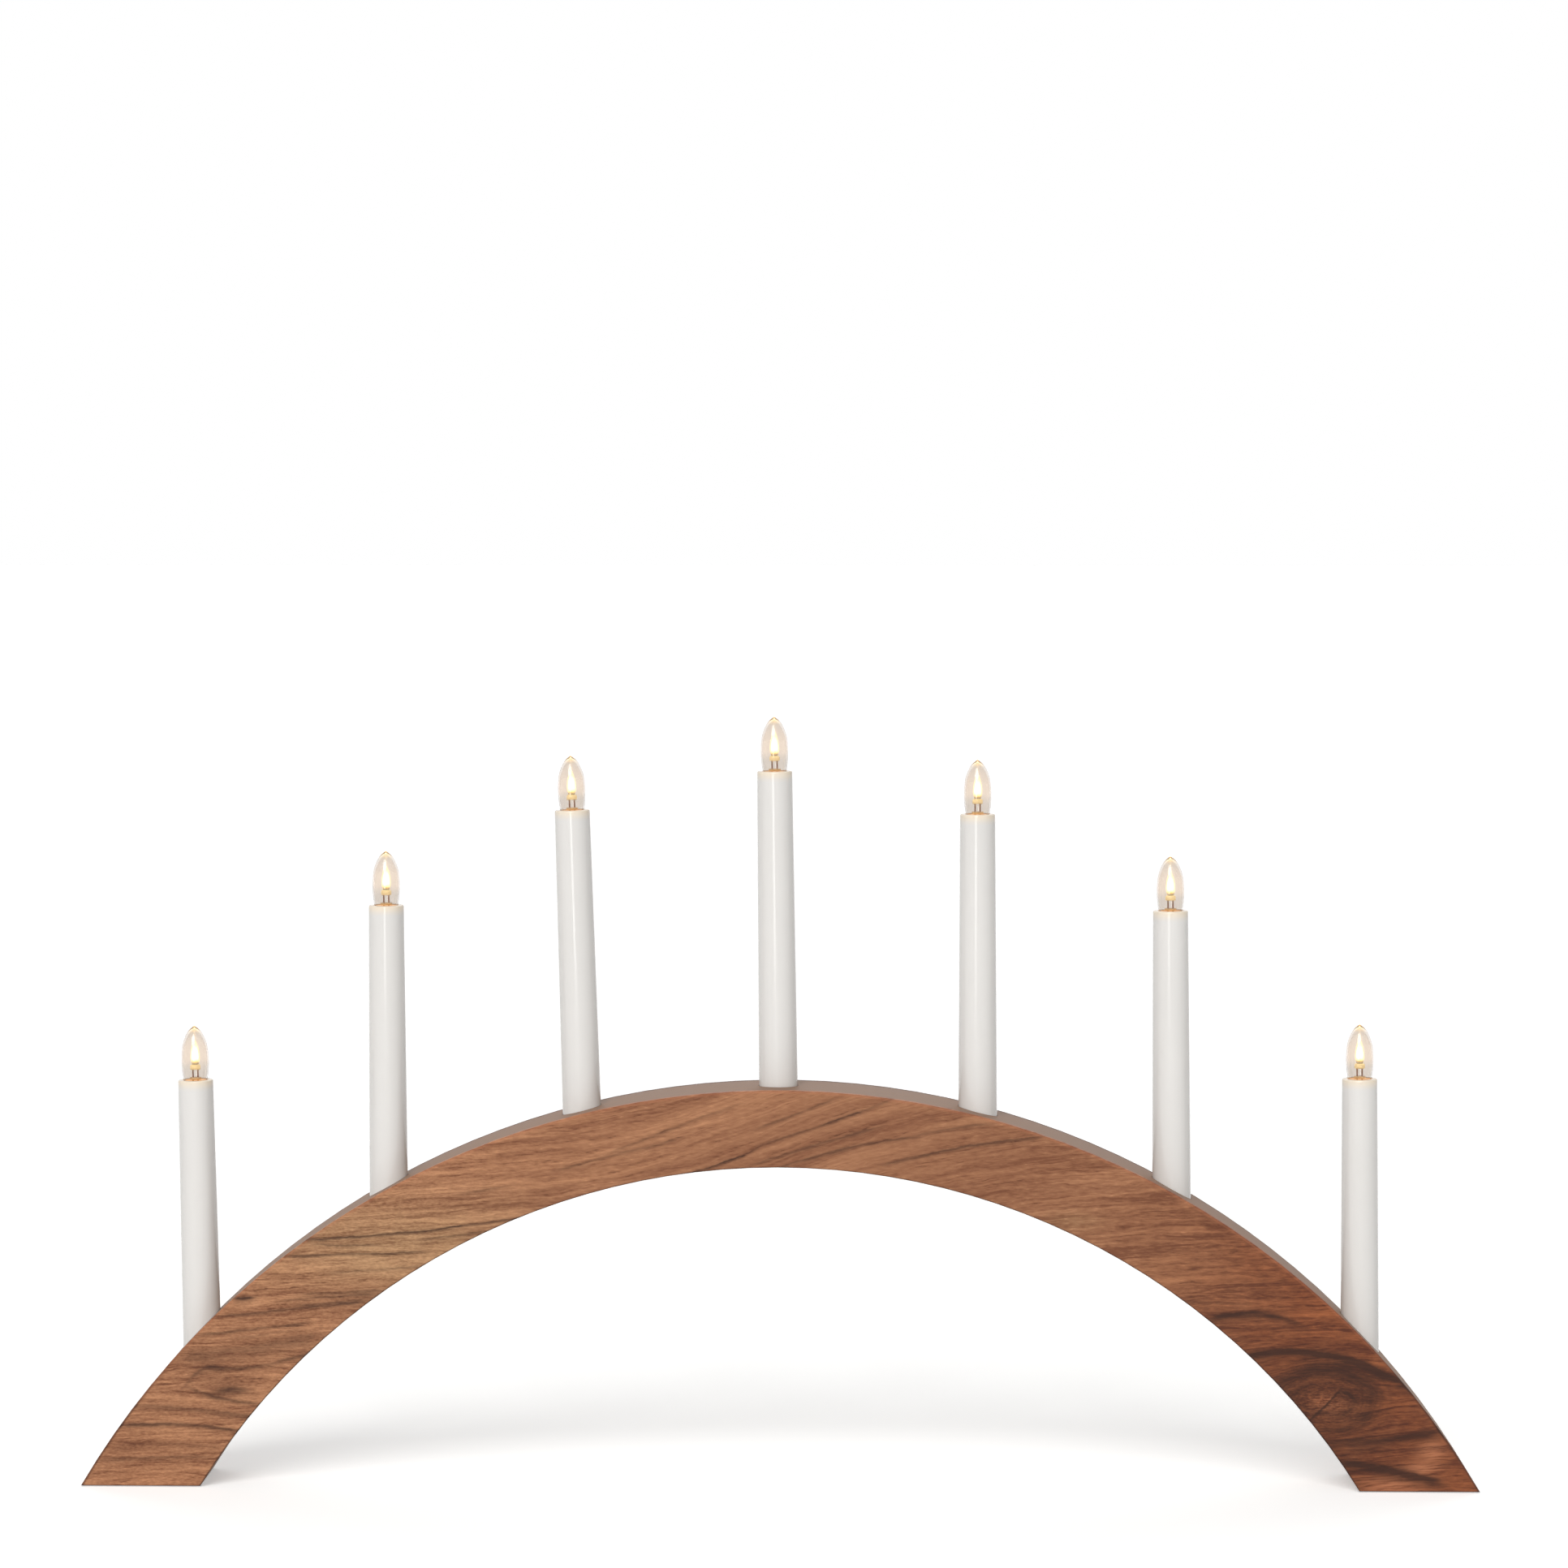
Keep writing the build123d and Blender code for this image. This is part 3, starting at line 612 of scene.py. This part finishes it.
# LED, drawn finer too: outlines of its turned pieces, from the leads' feet to the lens's tip
LED_FOOT = -5.0
LED_TOP = 20.0
LED_SIDES = 48
LED_LEAD = ((0.0, LED_FOOT), (0.4, LED_FOOT), (0.4, 5.2), (0.0, 5.2))
LED_LEAD_ASIDE = 1.25
LED_BEAD = ((0.0, 0.2), (2.8, 0.2), (3.0, 0.4), (3.0, 1.0), (2.8, 1.2), (0.0, 1.2))
LED_COLLAR = ((0.0, 5.2), (2.6, 5.2), (2.6, 6.8), (2.37, 7.37), (1.8, 7.6), (0.0, 7.6))
LED_LENS = (
    (1.6, 7.6), (2.12, 9.4), (2.3, 11.57), (2.1, 14.0), (1.66, 16.28), (1.04, 18.1), (0.45, 19.5),
    (0.0, LED_TOP),
)
LED_CORE = (
    (0.7, 8.4), (1.3, 9.8), (1.5, 11.6), (1.34, 13.8), (0.98, 15.8), (0.5, 17.6), (0.0, 18.6),
)
LED_BEAD_GOLD = linear(236, 204, 146)
LED_LEAD_RED = linear(150, 104, 74)
LED_LEAD_PALE = linear(196, 164, 128)
LED_COLLAR_PALE = linear(246, 226, 170)
LED_COLLAR_GLOW = linear(255, 226, 160)
LENS_FOOT = linear(196, 188, 154)
LENS_PALE = linear(255, 243, 214)
LENS_GLOW = linear(255, 226, 164)
CORE_PALE = linear(255, 247, 222)
CORE_GOLD = linear(252, 222, 146)


def clear_glass(name):
    """Clear lamp glass: greyer where it is seen edge on, as painted shade; the lamp's warm light painted
    on at the tip and as a faint haze; cemented at its neck, where a painted glow lights it.
    """
    paint = Paint(name)
    share = paint.height_share()
    # Painted shade where the glass is seen edge on, less of it towards the tip
    edge_on = paint.step(paint.facing(blend=0.35), low=0.35, high=0.95)
    rim = edge_on * paint.step(share, low=0.96, high=0.8, out_low=0.2)
    colour = paint.mix(rim, GLASS_CLEAR, GLASS_EDGE_SHADE)
    # The lamp's warm light painted on at the tip
    colour = paint.mix(paint.step(share, low=0.86, high=1.0) * 0.3, colour, GLASS_TIP)
    haze = paint.step(share, low=0.3, high=0.5) * paint.step(share, low=1.0, high=0.6, out_low=0.35)
    cement = paint.step(share, NECK_SHARE, NECK_SHARE - NECK_BLEND)
    colour = paint.mix(cement, colour, GLASS_CEMENT)
    glow = paint.mix(paint.step(share, low=0.8, high=1.0), GLASS_GLOW, GLASS_TIP_GLOW)
    tip = paint.step(share, low=0.88, high=0.99) * TIP_GLOW
    return paint.finish(
        base_color=colour, roughness=cement * 0.6 + 0.02, transmission_weight=1.0 - cement, ior=1.45,
        # Painted glow of the lamp's light: faint haze, warm tip and the cement at the neck
        emission_color=glow, emission_strength=haze * HAZE_GLOW + tip + cement * CEMENT_GLOW,
    )


def led_height(paint):
    """The height of a point of the LED above the tube's rim, in millimetres."""
    return paint.height_share() * (LED_TOP - LED_FOOT) + LED_FOOT


def led(name):
    """The LED's red-brown leads, golden bead and pale collar."""
    paint = Paint(name)
    height = led_height(paint)
    colour = paint.mix(paint.step(height, low=1.1, high=1.4), LED_BEAD_GOLD, LED_LEAD_RED)
    colour = paint.mix(paint.step(height, low=3.0, high=5.0), colour, LED_LEAD_PALE)
    colour = paint.mix(paint.step(height, low=5.1, high=5.3), colour, LED_COLLAR_PALE)
    return paint.finish(
        base_color=colour, roughness=0.3, emission_color=LED_COLLAR_GLOW,
        emission_strength=paint.step(height, low=5.0, high=5.4) * 0.3,
    )


def led_lens(name):
    """The LED's frosted lens, which takes up its core's light; greyer at its foot."""
    paint = Paint(name)
    height = led_height(paint)
    colour = paint.mix(paint.step(height, low=7.8, high=9.6), LENS_FOOT, LENS_PALE)
    return paint.finish(
        base_color=colour, roughness=0.25, transmission_weight=0.85, ior=1.2,
        emission_color=LENS_GLOW, emission_strength=paint.step(height, low=8.0, high=10.5) * 0.5,
    )


def led_core(name):
    """The light inside the lens, palest at its middle."""
    paint = Paint(name)
    height = led_height(paint)
    ends = paint.step(height, low=11.0, high=9.0) + paint.step(height, low=15.0, high=18.6)
    glow = paint.mix(ends, CORE_PALE, CORE_GOLD)
    return paint.finish(
        base_color=glow, roughness=0.5, emission_color=glow,
        emission_strength=paint.step(height, low=8.2, high=10.0) * 1.7,
    )


def dress(material, *names):
    """Puts a material on CAD nodes."""
    for name in names:
        slots = nodes[name].data.materials
        slots.clear()
        slots.append(material)


def each(name):
    return [f"{name}_{number}" for number in candles]


dress(wood("front_wood", mirror=1.0, painted_top_shade=0.0), "front_panel")
# The back copy gets painted shade along its upper edge
dress(wood("back_wood", mirror=-1.0, painted_top_shade=1.3), "back_panel")
dress(stained_strip("taupe_strip"), "top_strip", "soffit_cover")
dress(sawn_wood("block_wood"), "seat_blocks")
dress(felt("pad_felt"), "foot_pads")
steel = metal("screw_steel", (196, 198, 200), (168, 168, 166), rough=0.32)
dress(steel, "cover_screws", "contact_springs")
brass = metal("brass", (222, 186, 112), (196, 152, 80), rough=0.28)
dress(brass, *each("socket_shell"), *each("centre_contact"), *each("lamp_cap"))
dress(moulded("wire_cover", (222, 216, 204), (206, 198, 184), rough=0.5), "series_wires")
dress(moulded("terminal_plastic", (232, 230, 224), (214, 212, 206), rough=0.45), "terminal_block")
dress(moulded("gland_plastic", (64, 54, 48), (48, 40, 36), rough=0.5), "cord_gland")
dress(lit_holder("holder_plastic"), *each("lamp_holder"))
dress(tube_plastic("tube_plastic"), *each("candle_tube"))


def smooth_line(points, steps):
    """A line through points that bends evenly between them."""
    line = []
    ends = [points[0], *points, points[-1]]
    for before, first, second, after in zip(ends, ends[1:], ends[2:], ends[3:]):
        for step in range(steps):
            t = step / steps
            line.append([
                0.5 * (
                    2 * b + (c - a) * t + (2 * a - 5 * b + 4 * c - d) * t**2
                    + (3 * b - 3 * c + d - a) * t**3
                )
                for a, b, c, d in zip(before, first, second, after)
            ])
    return [*line, list(points[-1])]


def turned(outline, sides, aside=0.0):
    """Points and faces turned from a closed outline of radius and height; radius 0 is one point."""
    points, rows = [], []
    for radius, height in outline:
        count = sides if radius > 0 else 1
        rows.append(range(len(points), len(points) + count))
        for side in range(count):
            angle = 2 * pi * side / sides
            points.append(((radius * cos(angle) + aside) * MM, radius * sin(angle) * MM, height * MM))
    faces = []
    for low, high in zip(rows, [*rows[1:], rows[0]]):
        for side in range(sides):
            after = (side + 1) % sides
            if len(low) > 1 and len(high) > 1:
                faces.append((low[side], low[after], high[after], high[side]))
            elif len(low) > 1:
                faces.append((low[side], low[after], high[0]))
            elif len(high) > 1:
                faces.append((low[0], high[after], high[side]))
    return points, faces


def joined(name, pieces, materials):
    """One smooth mesh from turned pieces, each with the number of its material."""
    points, faces, kinds = [], [], []
    for (piece_points, piece_faces), kind in pieces:
        faces += [tuple(index + len(points) for index in face) for face in piece_faces]
        kinds += [kind] * len(piece_faces)
        points += piece_points
    mesh = bpy.data.meshes.new(name)
    mesh.from_pydata(points, [], faces)
    for material in materials:
        mesh.materials.append(material)
    for polygon, kind in zip(mesh.polygons, kinds):
        polygon.material_index = kind
    mesh.shade_smooth()
    return mesh


outside = smooth_line(GLASS_OUTLINE, GLASS_STEPS)
hollow_top = GLASS_TOP - GLASS_TIP_WALL
inside = [
    (radius - GLASS_WALL, height * hollow_top / GLASS_TOP if height > 0 else height)
    for radius, height in outside if radius > GLASS_WALL + HOLLOW_TOP_RADIUS
]
inside.append((0.0, hollow_top))
glass_pieces = [(turned(outside + inside[::-1], GLASS_SIDES), 0)]
glass_mesh = joined("glass", glass_pieces, [clear_glass("lamp_glass")])
led_pieces = [(turned(LED_LEAD, LED_SIDES, aside), 0) for aside in (-LED_LEAD_ASIDE, LED_LEAD_ASIDE)]
led_pieces += [(turned(outline, LED_SIDES), 0) for outline in (LED_BEAD, LED_COLLAR)]
for kind, outline in ((1, LED_LENS), (2, LED_CORE)):
    line = [(0.0, outline[0][1]), *smooth_line(outline, GLASS_STEPS)]
    led_pieces.append((turned(line, LED_SIDES), kind))
led_mesh = joined("led", led_pieces, [led("led"), led_lens("led_lens"), led_core("led_core")])
turns = {joint["name"]: joint for joint in frame["record"]["behaviour"]["joints"]}
for number in candles:
    turn = turns[f"lamp_{number}_turn"]
    lean = Vector((0, 0, 1)).rotation_difference(Vector(turn["axis"])).to_matrix().to_4x4()
    for piece, mesh, slot in (("glass", glass_mesh, "lamp_glass"), ("led", led_mesh, "led")):
        lamp_piece = bpy.data.objects.new(f"{piece}_{number}", mesh)
        lamp_piece.matrix_world = Matrix.Translation(turn["pos_m"]) @ lean
        scene.collection.objects.link(lamp_piece)
        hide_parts(f"lamp_{piece}_{number}")
        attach(lamp_piece, f"lamp_{number}")

# Floor, sky and lamps
FLOOR_HALF = 60.0
FLOOR_LIFT = 0.38
FLOOR_DEEP = linear(244, 244, 243)
FLOOR_LIGHT = linear(248, 248, 247)
SKY_LIGHT = 0.28
SEEN_RAYS = ("Is Camera Ray", "Is Glossy Ray", "Is Transmission Ray")
LAMP_WHITE = (1.0, 0.99, 0.98)
LAMP_WARM = (1.0, 0.985, 0.97)


def seen_directly(tree):
    """A node output: 1 for rays from the camera, off gloss and through glass, 0 for others."""
    path = tree.nodes.new("ShaderNodeLightPath")
    widest = path.outputs[SEEN_RAYS[0]]
    for ray in SEEN_RAYS[1:]:
        either = tree.nodes.new("ShaderNodeMath")
        either.operation = "MAXIMUM"
        tree.links.new(widest, either.inputs[0])
        tree.links.new(path.outputs[ray], either.inputs[1])
        widest = either.outputs[0]
    return widest


def floor_material():
    """A white floor, a little brighter where the camera sees it, that keeps the shadow."""
    paint = Paint("floor_white")
    x, y, _ = paint.place()
    dust = paint.noise((x, y, 0.0), rates=(0.002, 0.002, 1.0), detail=3.0)
    seen = Number(paint, seen_directly(paint.tree))
    return paint.finish(
        base_color=paint.mix(dust, FLOOR_DEEP, FLOOR_LIGHT), roughness=0.9, specular_ior_level=0.0,
        emission_color=WHITE, emission_strength=seen * FLOOR_LIFT,
    )


corners = [
    (side * FLOOR_HALF, ahead * FLOOR_HALF, 0.0) for side, ahead in ((-1, -1), (1, -1), (1, 1), (-1, 1))
]
floor_mesh = bpy.data.meshes.new("floor")
floor_mesh.from_pydata(corners, [], [(0, 1, 2, 3)])
floor_mesh.materials.append(floor_material())
floor = bpy.data.objects.new("floor", floor_mesh)
scene.collection.objects.link(floor)

world = bpy.data.worlds.new("studio")
scene.world = world
world.use_nodes = True
sky = world.node_tree
level = sky.nodes.new("ShaderNodeMapRange")
level.inputs["To Min"].default_value = SKY_LIGHT
level.inputs["To Max"].default_value = 1.0
sky.links.new(seen_directly(sky), level.inputs["Value"])
sky.links.new(level.outputs["Result"], sky.nodes["Background"].inputs["Strength"])
sky.nodes["Background"].inputs["Color"].default_value = WHITE


def sunlamp(name, azimuth, elevation, strength, softness):
    """A soft lamp far away; azimuth 0 is in front of the arch, 90 to its right."""
    light = bpy.data.lights.new(name, "SUN")
    light.energy = strength
    light.angle = radians(softness)
    light.color = LAMP_WHITE
    lamp = bpy.data.objects.new(name, light)
    side, rise = radians(azimuth), radians(elevation)
    towards = Vector((sin(side) * cos(rise), -cos(side) * cos(rise), sin(rise)))
    lamp.rotation_euler = towards.to_track_quat("Z", "Y").to_euler()
    scene.collection.objects.link(lamp)


def softbox(name, place, aim, size, power):
    """A lamp with a flat rectangular face that looks at one point."""
    light = bpy.data.lights.new(name, "AREA")
    light.shape = "RECTANGLE"
    light.size, light.size_y = size
    light.energy = power
    light.color = LAMP_WARM
    lamp = bpy.data.objects.new(name, light)
    lamp.location = place
    lamp.rotation_euler = (Vector(place) - Vector(aim)).to_track_quat("Z", "Y").to_euler()
    lamp.visible_camera = False
    scene.collection.objects.link(lamp)


sunlamp("key", azimuth=-12.0, elevation=40.0, strength=1.7, softness=34.0)
sunlamp("back", azimuth=180.0, elevation=44.0, strength=0.5, softness=40.0)
softbox("fill", place=(-0.46, -2.6, 0.64), aim=(0.0, 0.0, 0.64), size=(0.53, 1.2), power=10.0)

yaw, pitch, roll = (radians(angle) for angle in (CAMERA_YAW, CAMERA_PITCH, CAMERA_ROLL))
forward = Vector((sin(yaw) * cos(pitch), cos(yaw) * cos(pitch), -sin(pitch)))
level_right = Vector((cos(yaw), -sin(yaw), 0))
level_up = level_right.cross(forward)
right = level_right * cos(roll) + level_up * sin(roll)
up = level_up * cos(roll) - level_right * sin(roll)
camera_data = bpy.data.cameras.new("camera")
camera_data.sensor_width = SENSOR_WIDTH
camera_data.sensor_fit = "HORIZONTAL"
camera_data.lens = CAMERA_LENS
camera = bpy.data.objects.new("camera", camera_data)
facing_ahead = Matrix((right, up, -forward)).transposed().to_4x4()
camera.matrix_world = Matrix.Translation(CAMERA_PLACE) @ facing_ahead
scene.collection.objects.link(camera)
bpy.context.scene.camera = camera
bpy.context.scene.view_settings.view_transform = "Standard"
